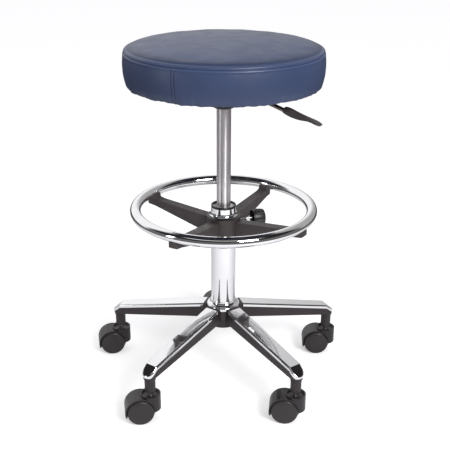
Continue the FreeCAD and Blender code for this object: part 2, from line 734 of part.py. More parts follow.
def caster_hood():
    """Moulded hood: round neck with a cup recess, mudguard over both wheels, web between them."""
    neck = rod(HOOD_R, 25, HOOD_TOP_Z)
    guard = bar(GUARD_R, vec(-CASTER_TRAIL, -HOOD_R, WHEEL_R), vec(-CASTER_TRAIL, HOOD_R, WHEEL_R))
    guard = guard.common(box((-CASTER_TRAIL - 40, -30, 17.5), (0, 30, 80)))
    web = box((-CASTER_TRAIL - 28, -WEB_HALF, 12), (HOOD_R - 8, WEB_HALF, 40))
    web = web.common(bar(GUARD_R - 1, vec(-CASTER_TRAIL, -HOOD_R, WHEEL_R), vec(-CASTER_TRAIL, HOOD_R, WHEEL_R)))
    hood = neck.fuse([guard, web])
    for side in (-1, 1):
        near = vec(-CASTER_TRAIL, side * WEB_HALF, WHEEL_R)
        far = vec(-CASTER_TRAIL, side * 40, WHEEL_R)
        hood = hood.cut(bar(WELL_R, near, far))
    cup = spun([(0, 54.6), (14.6, 54.6), (16.8, HOOD_TOP_Z + 0.1), (16.8, 70), (0, 70)])
    hood = hood.cut(cup)
    hood = hood.cut(rod(STEM_R - 1.0 + RUN, 35.5, 70))
    axle = bar(AXLE_R, vec(-CASTER_TRAIL, -30, WHEEL_R), vec(-CASTER_TRAIL, 30, WHEEL_R))
    return hood.cut(axle).removeSplitter()


def caster_axle():
    return bar(AXLE_R, vec(-CASTER_TRAIL, -19.5, WHEEL_R), vec(-CASTER_TRAIL, 19.5, WHEEL_R))


def caster_wheel(side):
    """One of the twin wheels: tread, domed outer face and a blind hub bore."""
    inner_y = WEB_HALF + 0.8
    profile = [(AXLE_R + RUN, inner_y), (8.0, inner_y), (8.0, inner_y + 3.0), (WHEEL_R - 4.0, inner_y + 3.0),
               (WHEEL_R - 4.0, inner_y + 0.4), (WHEEL_R - 1.0, inner_y + 0.4), (WHEEL_R, inner_y + 1.4),
               (WHEEL_R, 18.6), (WHEEL_R - 1.0, 20.6, "arc"), (WHEEL_R - 3.6, 21.9)]
    profile += dome(WHEEL_R - 3.6, 21.9, 24.6) + [(0, 19.6), (AXLE_R + RUN, 19.6)]
    wheel = spun(profile)
    wheel.rotate(ORIGIN, vec(1, 0, 0), -90 if side > 0 else 90)
    wheel.translate(vec(-CASTER_TRAIL, 0, WHEEL_R))
    return wheel


# ---------------------------------------------------------------- write every piece


def main():
    os.makedirs("parts", exist_ok=True)
    save("star_base", star_base())
    for index, angle in enumerate(ARM_ANGLES):
        save("arm_cover_%d" % (index + 1), turned(arm_cover(), angle))
    save("hub_collar", hub_collar())

    save("column_tube", column_tube())
    save("guide_bush", guide_bush())
    save("bearing_lower_race", bearing_lower_race())
    save("bearing_balls", bearing_balls())
    save("bearing_upper_race", bearing_upper_race())
    save("rubber_bumper", rubber_bumper())
    save("retaining_clip", retaining_clip())
    save("piston_rod", piston_rod())
    save("piston", piston())
    save("piston_seal", piston_seal())
    save("gas_cylinder", gas_cylinder())
    save("cylinder_gland", cylinder_gland())
    save("release_button", release_button())

    save("taper_socket", taper_socket())
    save("seat_plate", seat_plate())
    save("lever_pin", lever_pin())
    save("lever_rod", lever_rod())
    save("lever_paddle", lever_paddle())
    save("seat_board", seat_board())
    save("foam_pad", foam_pad())
    save("seat_cover", seat_cover())
    save("tee_nuts", tee_nuts())
    save("plate_bolts", plate_bolts())
    save("base_cloth", base_cloth())

    save("foot_ring", foot_ring().cut(group(screw_windows())))
    save("ring_spider", ring_spider())
    save("ring_bush", ring_bush())
    save("ring_trim", ring_trim())
    save("ring_screws", ring_screws())
    save("clamp_pad", clamp_pad())
    save("clamp_screw", clamp_screw())
    save("clamp_knob", clamp_knob())

    stems = [caster_place(caster_stem(), index) for index in range(5)]
    save("caster_stems", group(stems))
    for index in range(5):
        number = index + 1
        save("caster_hood_%d" % number, caster_place(caster_hood(), index))
        save("caster_axle_%d" % number, caster_place(caster_axle(), index))
        save("wheel_left_%d" % number, caster_place(caster_wheel(1), index))
        save("wheel_right_%d" % number, caster_place(caster_wheel(-1), index))


main()
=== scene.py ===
"""Looks of an adjustable swivel stool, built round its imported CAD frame.

Metres, +Z up, in the CAD frame: the origin is on the floor on the column's axis, -Y is the front.
"""

import json
import math

import bmesh
import bpy
import numpy as np
from mathutils import Matrix, Vector, noise
from mathutils.bvhtree import BVHTree


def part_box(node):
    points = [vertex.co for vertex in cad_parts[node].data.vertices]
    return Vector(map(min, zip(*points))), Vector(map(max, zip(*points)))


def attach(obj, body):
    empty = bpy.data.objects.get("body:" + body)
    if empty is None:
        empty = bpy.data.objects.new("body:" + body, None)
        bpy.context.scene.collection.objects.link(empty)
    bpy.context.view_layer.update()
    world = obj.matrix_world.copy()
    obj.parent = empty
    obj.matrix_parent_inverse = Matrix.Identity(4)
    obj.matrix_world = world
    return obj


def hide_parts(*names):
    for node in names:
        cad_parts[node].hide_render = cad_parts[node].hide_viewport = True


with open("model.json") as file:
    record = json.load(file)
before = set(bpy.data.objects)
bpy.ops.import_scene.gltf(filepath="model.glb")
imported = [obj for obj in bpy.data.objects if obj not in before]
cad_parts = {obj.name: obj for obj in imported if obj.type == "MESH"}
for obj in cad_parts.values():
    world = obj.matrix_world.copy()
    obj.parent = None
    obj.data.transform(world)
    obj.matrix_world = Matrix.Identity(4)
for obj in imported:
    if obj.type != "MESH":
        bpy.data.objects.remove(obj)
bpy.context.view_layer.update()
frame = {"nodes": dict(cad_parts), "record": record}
NODES = frame["nodes"]
MM = 0.001

seat_low, seat_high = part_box("seat_cover")
SEAT_R = (seat_high.x - seat_low.x) / 2
SEAT_BASE = seat_low.z
SEAT_CROWN = seat_high.z
board_low, board_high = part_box("seat_board")
BOARD_R = (board_high.x - board_low.x) / 2
LINING_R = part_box("base_cloth")[1].x
SEAM_Z = SEAT_CROWN - 22.2 * MM     # height of the top seam
DOME_DROP = 10.2 * MM       # fall of the crowned top out to where its edge rolls over
PANEL_EDGE = 6.2 * MM       # width of the stitched-down seam allowance above the seam
PANEL_CREASE = 10.4 * MM    # soft crease beyond the allowance, measured down the cover to the seam
CREASE_RISE = 8.6 * MM      # height of that crease above the seam
STITCH_ROW = 2.9 * MM       # stitches, above the seam
STITCH_LENGTH = 3.2 * MM
STITCH_PITCH = 4.0 * MM
SIDE_SEAM = math.radians(242.6)     # where the band's ends are joined, round from +X
SIDE_SEAM_HALF = 2.7 * MM   # half the width of the felled join
CORE_INSET = 2.6 * MM       # the simulated pad starts this much inside the cover
SWELL_LIMIT = 1.1 * MM      # the most that the simulated pad moves the cover, out or in
THREAD_SIDES = 6            # sides of a stitch's or a staple's section

# ---------------------------------------------------------------- node helpers


def new_material(name):
    """An empty material with one Principled shader, and its tree and shader."""
    material = bpy.data.materials.new(name)
    material.use_nodes = True
    tree = material.node_tree
    return material, tree, tree.nodes["Principled BSDF"]


def add(tree, kind, inputs=None, **settings):
    """A node of that kind with its settings and its unlinked inputs set."""
    made = tree.nodes.new(kind)
    for key, value in settings.items():
        setattr(made, key, value)
    for key, value in (inputs or {}).items():
        made.inputs[key].default_value = value
    return made


def place(tree, scale=(1.0, 1.0, 1.0)):
    """The object's own coordinates, stretched."""
    coords = add(tree, "ShaderNodeTexCoord")
    mapping = add(tree, "ShaderNodeMapping", {"Scale": scale})
    tree.links.new(coords.outputs["Object"], mapping.inputs["Vector"])
    return mapping.outputs["Vector"]


def cloud(tree, vector, scale, detail=3.0, roughness=0.5):
    """A noise value between 0 and 1."""
    made = add(tree, "ShaderNodeTexNoise", {"Scale": scale, "Detail": detail, "Roughness": roughness})
    tree.links.new(vector, made.inputs["Vector"])
    return made.outputs["Fac"]


def spread(tree, value, low, high, out_low, out_high):
    """The value stretched from low..high to out_low..out_high, with a soft clamp."""
    limits = {"From Min": low, "From Max": high, "To Min": out_low, "To Max": out_high}
    made = add(tree, "ShaderNodeMapRange", limits, interpolation_type="SMOOTHSTEP")
    tree.links.new(value, made.inputs["Value"])
    return made.outputs["Result"]


def blend_colors(tree, value, first, second):
    """Colour from first to second as value goes from 0 to 1. A colour may be a socket."""
    made = add(tree, "ShaderNodeMix", data_type="RGBA")
    tree.links.new(value, made.inputs[0])
    for slot, color in ((6, first), (7, second)):
        if isinstance(color, bpy.types.NodeSocket):
            tree.links.new(color, made.inputs[slot])
        else:
            made.inputs[slot].default_value = (*color, 1.0)
    return made.outputs[2]


def bump(tree, height, depth, strength=1.0, under=None):
    """A bump normal of that real depth, laid over another one if given."""
    made = add(tree, "ShaderNodeBump", {"Strength": strength, "Distance": depth})
    tree.links.new(height, made.inputs["Height"])
    if under is not None:
        tree.links.new(under, made.inputs["Normal"])
    return made.outputs["Normal"]


def combine(tree, first, second, operation="ADD"):
    """The result of one maths operation on two values, each a socket or a number."""
    made = add(tree, "ShaderNodeMath", operation=operation)
    for index, value in enumerate((first, second)):
        if isinstance(value, bpy.types.NodeSocket):
            tree.links.new(value, made.inputs[index])
        else:
            made.inputs[index].default_value = value
    return made.outputs[0]


def product(tree, *values):
    """All the values multiplied."""
    made = values[0]
    for value in values[1:]:
        made = combine(tree, made, value, "MULTIPLY")
    return made


def off(tree, value, centre):
    """How far the value is from a number, either way."""
    return combine(tree, combine(tree, value, centre, "SUBTRACT"), 0.0, "ABSOLUTE")


def axes(tree, vector):
    """The three parts of a vector, by the names X, Y and Z."""
    parts = add(tree, "ShaderNodeSeparateXYZ")
    tree.links.new(vector, parts.inputs[0])
    return parts.outputs


def length(tree, vector, scale=(1.0, 1.0, 1.0)):
    """The length of a vector, or of its parts that the scale keeps."""
    kept = add(tree, "ShaderNodeVectorMath", {1: scale}, operation="MULTIPLY")
    tree.links.new(vector, kept.inputs[0])
    made = add(tree, "ShaderNodeVectorMath", operation="LENGTH")
    tree.links.new(kept.outputs[0], made.inputs[0])
    return made.outputs["Value"]


def tint(color, factor):
    """The colour made lighter or darker."""
    return tuple(min(1.0, c * factor) for c in color)


# ---------------------------------------------------------------- materials


def upholstery_vinyl():
    """Grained, semi-matt navy vinyl: slight random changes of tone, a painted highlight on the raised
    edges, painted shade in the creases.
    """
    material, tree, shader = new_material("navy_vinyl")
    base = (0.045, 0.067, 0.146)
    vector = place(tree)
    shade = spread(tree, cloud(tree, vector, 9.0, 4.0), 0.35, 0.65, 0.0, 1.0)
    color = blend_colors(tree, shade, tint(base, 0.94), tint(base, 1.06))
    cells = add(tree, "ShaderNodeTexVoronoi", {"Scale": 780.0, "Smoothness": 0.6}, feature="SMOOTH_F1")
    warp = cloud(tree, vector, 260.0, 2.0)
    warped = add(tree, "ShaderNodeVectorMath", {1: (0.0006, 0.0006, 0.0006)}, operation="MULTIPLY_ADD")
    tree.links.new(warp, warped.inputs[0])
    tree.links.new(vector, warped.inputs[2])
    tree.links.new(warped.outputs[0], cells.inputs["Vector"])
    creases = spread(tree, cells.outputs["Distance"], 0.25, 0.75, 0.0, 1.0)
    color = blend_colors(tree, product(tree, creases, 0.25), color, tint(base, 0.6))
    # painted highlight: the raised edges by the top seam are made paler, and below their roughness is
    # lowered a little
    edge_highlight = raised_edges(tree, vector)
    color = blend_colors(tree, edge_highlight, color, tint(base, 1.32))
    color = blend_colors(tree, seam_shade(tree, vector), color, tint(base, 0.10))
    tree.links.new(color, shader.inputs["Base Color"])
    rough = spread(tree, cloud(tree, vector, 38.0, 3.0), 0.3, 0.7, 0.38, 0.44)
    rough = combine(tree, rough, product(tree, edge_highlight, 0.10), "SUBTRACT")
    tree.links.new(rough, shader.inputs["Roughness"])
    shader.inputs["Specular IOR Level"].default_value = 0.5
    grain = bump(tree, cells.outputs["Distance"], -0.10 * MM, 0.55)
    waves = bump(tree, cloud(tree, vector, 26.0, 3.0), 1.2 * MM, 0.12, grain)
    tree.links.new(waves, shader.inputs["Normal"])
    return material


def raised_edges(tree, vector):
    """A mask of the raised edges above and below the top seam, where a painted highlight makes the
    vinyl paler and it is a little glossier.
    """
    rise = combine(tree, axes(tree, vector)["Z"], SEAM_Z, "SUBTRACT")
    above = 2.2 * MM
    below = -2.8 * MM
    upper = spread(tree, off(tree, rise, above), 0.5 * MM, 2.2 * MM, 1.0, 0.0)
    lower = spread(tree, off(tree, rise, below), 0.3 * MM, 2.0 * MM, 0.7, 0.0)
    return combine(tree, upper, lower, "MAXIMUM")


def seam_shade(tree, vector):
    """A mask of the creases: the top seam, the one above its allowance and the band's join."""
    height = axes(tree, vector)["Z"]
    seam = spread(tree, off(tree, height, SEAM_Z), 0.2 * MM, 0.7 * MM, 0.25, 0.0)
    crease = spread(tree, off(tree, height, SEAM_Z + CREASE_RISE), 0.8 * MM, 4.6 * MM, 0.32, 0.0)
    offsets = []
    for turn in (SIDE_SEAM + math.pi / 2, SIDE_SEAM):
        along = add(tree, "ShaderNodeVectorMath", {1: (math.cos(turn), math.sin(turn), 0.0)},
                    operation="DOT_PRODUCT")
        tree.links.new(vector, along.inputs[0])
        offsets.append(along.outputs["Value"])
    aside, ahead = offsets
    off_line = off(tree, combine(tree, aside, 0.0, "ABSOLUTE"), SIDE_SEAM_HALF)
    lines = spread(tree, off_line, 0.2 * MM, 0.8 * MM, 0.7, 0.0)
    band = spread(tree, height, SEAM_Z - 1.5 * MM, SEAM_Z - 0.5 * MM, 1.0, 0.0)
    facing = spread(tree, ahead, 0.0, 0.02, 0.0, 1.0)
    join = product(tree, lines, band, facing)
    return combine(tree, combine(tree, seam, crease, "MAXIMUM"), join, "MAXIMUM")


NO_ZONE = (-10.0, -10.0)    # two heights far below the stool, so that nothing is black


def mirror_chrome(name, black_zone=NO_ZONE, black_r=0.0):
    """Bright plating, nearly a mirror; black between two heights and within a radius."""
    material, tree, shader = new_material(name)
    vector = place(tree)
    height = axes(tree, vector)["Z"]
    black_from, black_to = black_zone
    edge = 0.2 * MM
    over = spread(tree, height, black_from - edge, black_from + edge, 0.0, 1.0)
    under = spread(tree, height, black_to - edge, black_to + edge, 1.0, 0.0)
    radius = length(tree, vector, (1.0, 1.0, 0.0))
    inside = spread(tree, radius, black_r - 2 * edge, black_r, 1.0, 0.0)
    black = combine(tree, product(tree, over, under), inside, "MAXIMUM")
    smudge = cloud(tree, vector, 22.0, 5.0, 0.6)
    dull = spread(tree, smudge, 0.3, 0.7, 0.0, 1.0)
    color = blend_colors(tree, dull, (0.93, 0.93, 0.94), (0.89, 0.89, 0.90))
    color = blend_colors(tree, black, color, (0.018, 0.015, 0.017))
    tree.links.new(color, shader.inputs["Base Color"])
    tree.links.new(combine(tree, 1.0, black, "SUBTRACT"), shader.inputs["Metallic"])
    rough = spread(tree, smudge, 0.35, 0.75, 0.035, 0.085)
    rough = combine(tree, rough, product(tree, black, 0.2))
    tree.links.new(rough, shader.inputs["Roughness"])
    ripple = bump(tree, cloud(tree, vector, 34.0, 1.0), 0.10 * MM, 0.25)
    tree.links.new(ripple, shader.inputs["Normal"])
    return material


def satin_chrome():
    """Ground and plated cylinder: marks round it draw what it mirrors out along its length."""
    material, tree, shader = new_material("satin_chrome")
    rings = cloud(tree, place(tree, (40.0, 40.0, 2600.0)), 1.0, 2.0)
    color = blend_colors(tree, rings, (0.80, 0.775, 0.79), (0.90, 0.875, 0.89))
    tree.links.new(color, shader.inputs["Base Color"])
    shader.inputs["Metallic"].default_value = 1.0
    tree.links.new(spread(tree, rings, 0.3, 0.7, 0.30, 0.36), shader.inputs["Roughness"])
    shader.inputs["Anisotropic"].default_value = 0.9
    shader.inputs["Anisotropic Rotation"].default_value = 0.25
    around = add(tree, "ShaderNodeTangent", direction_type="RADIAL", axis="Z")
    tree.links.new(around.outputs[0], shader.inputs["Tangent"])
    tree.links.new(bump(tree, rings, 0.02 * MM, 0.3), shader.inputs["Normal"])
    return material


def moulded(name, color, roughness, grain_mm=0.6, depth_mm=0.05):
    """Moulded plastic with a fine spark-eroded grain, paler where it is rubbed."""
    material, tree, shader = new_material(name)
    vector = place(tree)
    patches = spread(tree, cloud(tree, vector, 30.0, 4.0), 0.35, 0.7, 0.0, 1.0)
    color_socket = blend_colors(tree, patches, tint(color, 0.9), tint(color, 1.14))
    tree.links.new(color_socket, shader.inputs["Base Color"])
    rough = spread(tree, cloud(tree, vector, 60.0, 4.0), 0.3, 0.7, roughness - 0.05, roughness + 0.06)
    tree.links.new(rough, shader.inputs["Roughness"])
    grain = cloud(tree, vector, 1.0 / (grain_mm * MM), 2.0, 0.6)
    tree.links.new(bump(tree, grain, depth_mm * MM, 0.5), shader.inputs["Normal"])
    return material


def powder_coat():
    """Black powder coat with a light orange-peel surface."""
    material, tree, shader = new_material("black_steel")
    vector = place(tree)
    color = blend_colors(tree, cloud(tree, vector, 45.0), (0.020, 0.020, 0.021), (0.034, 0.033, 0.034))
    tree.links.new(color, shader.inputs["Base Color"])
    rough = spread(tree, cloud(tree, vector, 90.0), 0.3, 0.7, 0.28, 0.40)
    tree.links.new(rough, shader.inputs["Roughness"])
    tree.links.new(bump(tree, cloud(tree, vector, 700.0, 1.0), 0.06 * MM, 0.5), shader.inputs["Normal"])
    return material


def plated_steel(name, color, roughness, mark_scale):
    """Bare or zinc-plated steel with fine turning marks and blotches."""
    material, tree, shader = new_material(name)
    vector = place(tree)
    blotch = cloud(tree, vector, 130.0, 4.0)
    color_socket = blend_colors(tree, blotch, tint(color, 0.85), tint(color, 1.1))
    tree.links.new(color_socket, shader.inputs["Base Color"])
    shader.inputs["Metallic"].default_value = 1.0
    rough = spread(tree, blotch, 0.3, 0.7, roughness - 0.06, roughness + 0.08)
    tree.links.new(rough, shader.inputs["Roughness"])
    marks = cloud(tree, place(tree, (60.0, 60.0, mark_scale)), 1.0, 2.0)
    tree.links.new(bump(tree, marks, 0.03 * MM, 0.4), shader.inputs["Normal"])
    return material


def birch_ply():
    """Pale plywood: long grain on its faces and dark glue lines round its edge."""
    material, tree, shader = new_material("plywood")
    grain = add(tree, "ShaderNodeTexWave", {"Scale": 14.0, "Distortion": 7.0, "Detail": 3.0})
    tree.links.new(place(tree, (1.0, 9.0, 1.0)), grain.inputs["Vector"])
    color = blend_colors(tree, grain.outputs["Fac"], (0.52, 0.36, 0.20), (0.66, 0.49, 0.30))
    plies = add(tree, "ShaderNodeTexWave", {"Scale": 105.0}, bands_direction="Z")
    tree.links.new(place(tree), plies.inputs["Vector"])
    lines = spread(tree, plies.outputs["Fac"], 0.0, 0.35, 0.55, 0.0)
    tree.links.new(blend_colors(tree, lines, color, (0.20, 0.11, 0.06)), shader.inputs["Base Color"])
    shader.inputs["Roughness"].default_value = 0.7
    tree.links.new(bump(tree, grain.outputs["Fac"], 0.1 * MM, 0.4), shader.inputs["Normal"])
    return material


def woven(name, color, pitch_mm):
    """Thin cloth with a plain weave of two crossed sets of threads."""
    material, tree, shader = new_material(name)
    heights = []
    sizes = {"Scale": 0.16 / (pitch_mm * MM), "Distortion": 0.6, "Detail": 1.0}
    for direction in ("X", "Y"):
        threads = add(tree, "ShaderNodeTexWave", sizes, bands_direction=direction)
        tree.links.new(place(tree), threads.inputs["Vector"])
        heights.append(threads.outputs["Fac"])
    weave = product(tree, *heights)
    color_socket = blend_colors(tree, weave, tint(color, 0.5), tint(color, 1.6))
    tree.links.new(color_socket, shader.inputs["Base Color"])
    shader.inputs["Roughness"].default_value = 0.95
    shader.inputs["Specular IOR Level"].default_value = 0.2
    tree.links.new(bump(tree, weave, 0.2 * MM, 0.8), shader.inputs["Normal"])
    return material


def sewing_thread():
    """Navy thread with a fine twist."""
    material, tree, shader = new_material("navy_thread")
    twist = cloud(tree, place(tree), 2400.0, 1.0)
    color = blend_colors(tree, twist, (0.006, 0.009, 0.022), (0.016, 0.023, 0.050))
    tree.links.new(color, shader.inputs["Base Color"])
    shader.inputs["Roughness"].default_value = 0.6
    tree.links.new(bump(tree, twist, 0.05 * MM, 0.6), shader.inputs["Normal"])
    return material


VINYL = upholstery_vinyl()
CHROME = mirror_chrome("mirror_chrome")
PAST_END = 10 * MM          # a black zone at a part's end runs on this far beyond it
TUBE_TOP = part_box("column_tube")[1].z
TUBE_BAND = 4.6 * MM        # height of the black band round the column's rim
TUBE_BLACK_R = 24.4 * MM    # black within this radius, which takes in the tube's bore
TUBE_CHROME = mirror_chrome("rimmed_chrome", (TUBE_TOP - TUBE_BAND, TUBE_TOP + PAST_END), TUBE_BLACK_R)
FLARE_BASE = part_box("ring_trim")[0].z
FLARE_FOOT = 2.6 * MM       # height of the black lowest part of the trim's flare
FLARE_CHROME = mirror_chrome("flared_chrome", (FLARE_BASE - PAST_END, FLARE_BASE + FLARE_FOOT))
SATIN = satin_chrome()
BASE_NYLON = moulded("black_nylon", (0.028, 0.021, 0.023), 0.42)
SPIDER_NYLON = moulded("grey_nylon", (0.048, 0.038, 0.038), 0.46)
BLACK_PLASTIC = moulded("black_plastic", (0.020, 0.018, 0.019), 0.40)
CASTER_PLASTIC = moulded("caster_plastic", (0.015, 0.0122, 0.0135), 0.34)
WHEEL_PLASTIC = moulded("wheel_plastic", (0.028, 0.0225, 0.025), 0.36, 0.9, 0.08)
GRIP_PLASTIC = moulded("grip_plastic", (0.058, 0.047, 0.051), 0.40)
ACETAL = moulded("white_acetal", (0.72, 0.72, 0.69), 0.35, 1.5, 0.02)
RUBBER = moulded("rubber", (0.022, 0.022, 0.022), 0.75, 0.8, 0.06)
POWDER = powder_coat()
ZINC = plated_steel("zinc_steel", (0.60, 0.61, 0.64), 0.30, 900.0)
BROWNED = plated_steel("browned_steel", (0.26, 0.20, 0.19), 0.34, 900.0)
GROUND = plated_steel("hard_steel", (0.50, 0.50, 0.52), 0.22, 3000.0)
ALUMINIUM = plated_steel("machined_aluminium", (0.74, 0.74, 0.76), 0.34, 1800.0)
PLYWOOD = birch_ply()
LINING = woven("black_cloth", (0.020, 0.020, 0.021), 0.8)
THREAD = sewing_thread()

BY_SLOT = {
    "black_nylon": BASE_NYLON, "chrome": CHROME, "satin_chrome": SATIN, "white_acetal": ACETAL,
    "hard_steel": GROUND, "black_steel": POWDER, "zinc_steel": ZINC, "aluminium": ALUMINIUM,
    "rubber": RUBBER, "grip_plastic": GRIP_PLASTIC, "plywood": PLYWOOD, "foam": PLYWOOD,
    "navy_vinyl": VINYL, "black_cloth": LINING, "grey_nylon": SPIDER_NYLON,
    "black_plastic": BLACK_PLASTIC, "caster_plastic": CASTER_PLASTIC, "wheel_plastic": WHEEL_PLASTIC,
}
BY_NODE = {"column_tube": TUBE_CHROME, "ring_trim": FLARE_CHROME, "lever_rod": BROWNED}


def paint_nodes():
    """Every CAD node takes its own material or that of its slot in the record."""
    for part in frame["record"]["subparts"]:
        piece = NODES[part["node"]]
        material = BY_NODE.get(part["node"], BY_SLOT[part["material_slot"]])
        if not piece.material_slots:
            piece.data.materials.append(material)
        for slot in piece.material_slots:
            slot.material = material


paint_nodes()

# ---------------------------------------------------------------- mesh helpers


def mesh_piece(name, points, faces, material, smooth=True):
    """A new object in the row frame with that mesh and material."""
    mesh = bpy.data.meshes.new(name)
    mesh.from_pydata([tuple(p) for p in points], [], faces)
    mesh.materials.append(material)
    mesh.update()
    if smooth:
        mesh.polygons.foreach_set("use_smooth", [True] * len(mesh.polygons))
    piece = bpy.data.objects.new(name, mesh)
    bpy.context.scene.collection.objects.link(piece)
    return piece


def rounded_path(points, rounds=4):
    """Corner cutting: the outline through these corners, softened, with its two ends kept."""
    path = [Vector(p) for p in points]
    for _ in range(rounds):
        cut = [path[0]]
        for a, b in zip(path, path[1:]):
            cut.append(a.lerp(b, 0.25))
            cut.append(a.lerp(b, 0.75))
        cut.append(path[-1])
        path = cut
    return path


def running_lengths(path):
    """How far along the path each of its points is."""
    lengths = [0.0]
    for a, b in zip(path, path[1:]):
        lengths.append(lengths[-1] + (b - a).length)
    return lengths


def resampled(path, spacing):
    """Points along the path at even steps of about that spacing."""
    lengths = running_lengths(path)
    count = max(2, round(lengths[-1] / spacing) + 1)
    wanted = np.linspace(0.0, lengths[-1], count)
    columns = [np.interp(wanted, lengths, [p[axis] for p in path]) for axis in range(2)]
    return [Vector((x, z)) for x, z in zip(*columns)]


def wrapped_quads(rows, wide, start=0, first_column=0):
    """Quads of a grid of vertices whose last row meets its first."""
    faces = []
    for row in range(rows):
        here = start + row * wide
        there = start + (row + 1) % rows * wide
        for column in range(first_column, wide - 1):
            faces.append((here + column, here + column + 1, there + column + 1, there + column))
    return faces


def tube_faces(first, rings, sides):
    """Faces of a tube with closed ends, from rings of vertices that begin at that index."""
    faces = []
    for ring in range(rings - 1):
        here = first + ring * sides
        for turn in range(sides):
            after = (turn + 1) % sides
            faces.append((here + turn, here + after, here + sides + after, here + sides + turn))
    faces.append(tuple(first + turn for turn in reversed(range(sides))))
    faces.append(tuple(first + (rings - 1) * sides + turn for turn in range(sides)))
    return faces


def drop_loose(piece):
    """Removes vertices that no face uses, and turns all faces outwards."""
    work = bmesh.new()
    work.from_mesh(piece.data)
    loose = [v for v in work.verts if not v.link_faces]
    bmesh.ops.delete(work, geom=loose, context="VERTS")
    bmesh.ops.recalc_face_normals(work, faces=work.faces)
    work.to_mesh(piece.data)
    work.free()


def round_z(angle):
    """The level direction at that angle from +X."""
    return Vector((math.cos(angle), math.sin(angle), 0.0))


def smoothstep(low, high, value):
    """0 below low, 1 above high, and a smooth rise between."""
    t = min(1.0, max(0.0, (value - low) / (high - low)))
    return t * t * (3 - 2 * t)


def bell(offset, width):
    """1 at no offset, falling away on both sides within about that width."""
    return math.exp(-((offset / width) ** 2))


# ---------------------------------------------------------------- padded seat


def seat_outline():
    """Half section of the cover, from the crown out and down to its turned-in lower edge."""
    dome_edge = SEAT_R - 28 * MM
    ball_r = (dome_edge ** 2 + DOME_DROP ** 2) / (2 * DOME_DROP)
    dome = [Vector((r, SEAT_CROWN - ball_r + math.sqrt(ball_r ** 2 - r ** 2)))
            for r in np.linspace(0.0, dome_edge, 40)]
    slope = dome_edge / ball_r
    straight_on = 8 * MM
    roll = [(dome_edge, dome[-1].y), (dome_edge + straight_on, dome[-1].y - straight_on * slope),
            (SEAT_R - 10 * MM, SEAT_CROWN - 14.0 * MM), (SEAT_R - 4.0 * MM, SEAT_CROWN - 18.5 * MM)]
    band = [(SEAT_R - 1.7 * MM, SEAT_CROWN - 25.0 * MM), (SEAT_R - 0.4 * MM, SEAT_CROWN - 36 * MM),
            (SEAT_R, SEAT_CROWN - 48 * MM), (SEAT_R - 1.6 * MM, SEAT_CROWN - 64 * MM),
            (SEAT_R - 5.0 * MM, SEAT_BASE + 9 * MM)]
    turn_in = [(SEAT_R - 7.5 * MM, SEAT_BASE + 0.8 * MM), (SEAT_R - 15 * MM, SEAT_BASE + 0.3 * MM),
               (LINING_R + 0.6 * MM, SEAT_BASE + 0.5 * MM)]
    return dome[:-1] + rounded_path(roll + band + turn_in)


def outward(path, index):
    """Unit normal of the half section at a point, pointing out of the pad."""
    a = path[max(0, index - 1)]
    b = path[min(len(path) - 1, index + 1)]
    along = (b - a).normalized()
    return Vector((-along.y, along.x))


def revolve(section, angles):
    """Vertices row by row, one row per angle, and quads between neighbouring rows."""
    points = [(r * math.cos(angle), r * math.sin(angle), z) for angle in angles for r, z in section]
    return points, wrapped_quads(len(angles), len(section))


def core_mesh():
    """The foam core as a closed, evenly meshed form, a little inside its cover."""
    path = resampled(seat_outline(), 6 * MM)
    inset = [p - CORE_INSET * outward(path, i) for i, p in enumerate(path)]
    section = [Vector((0.0, inset[0].y))] + inset[1:] + [Vector((0.0, SEAT_BASE + CORE_INSET))]
    angles = [2 * math.pi * i / 96 for i in range(96)]
    points, faces = revolve(section, angles)
    core = mesh_piece("core", points, faces, VINYL)
    bpy.context.view_layer.objects.active = core
    remesh = core.modifiers.new("voxels", "REMESH")
    remesh.mode = "VOXEL"
    remesh.voxel_size = 5.5 * MM
    bpy.ops.object.modifier_apply(modifier=remesh.name)
    return core


def blow_up(core):
    """Cloth pressure swells the core, held along its lower edge, by no more than a cap."""
    rest = np.array([v.co for v in core.data.vertices])
    held = core.vertex_groups.new(name="held")
    held.add([v.index for v in core.data.vertices if v.co.z < SEAT_BASE + 9 * MM], 1.0, "REPLACE")
    last_frame = 20
    cloth = core.modifiers.new("pressure", "CLOTH")
    cloth.settings.use_pressure = True
    cloth.settings.uniform_pressure_force = 4.0
    cloth.settings.effector_weights.gravity = 0.0
    cloth.settings.vertex_group_mass = held.name
    cloth.point_cache.frame_end = last_frame
    for step in range(1, last_frame + 1):
        bpy.context.scene.frame_set(step)
    bpy.ops.object.modifier_apply(modifier=cloth.name)
    bpy.context.scene.frame_set(1)
    shift = np.array([v.co for v in core.data.vertices]) - rest
    far = np.linalg.norm(shift, axis=1)
    cap = 4.0 * MM
    shift *= (cap * np.tanh(far / cap) / np.maximum(far, 1e-9))[:, None]
    core.data.vertices.foreach_set("co", (rest + shift).astype(np.float32).ravel())
    core.data.update()


def simulated_core():
    """The foam core blown up slightly inside its cover, as a search tree of its smooth surface."""
    core = core_mesh()
    blow_up(core)
    smooth = core.modifiers.new("even", "SMOOTH")
    smooth.factor = 0.5
    smooth.iterations = 6
    finer = core.modifiers.new("finer", "SUBSURF")
    finer.levels = 1
    evaluated = core.evaluated_get(bpy.context.evaluated_depsgraph_get())
    mesh = evaluated.to_mesh()
    corners = [v.co.copy() for v in mesh.vertices]
    tree = BVHTree.FromPolygons(corners, [tuple(p.vertices) for p in mesh.polygons])
    evaluated.to_mesh_clear()
    bpy.data.objects.remove(core)
    return tree


def swell_at(core, at, normal):
    """How far the simulated core moves the cover outwards at a point; less than 0 is inwards."""
    above = 8 * MM
    search = 20 * MM
    distance = core.ray_cast(at + normal * above, -normal, search)[3]
    if distance is None:
        return 0.0
    pushed = above - distance + CORE_INSET
    held_low = smoothstep(SEAT_BASE, SEAT_BASE + 10 * MM, at.z)
    return SWELL_LIMIT * math.tanh(pushed / (3.0 * MM)) * held_low


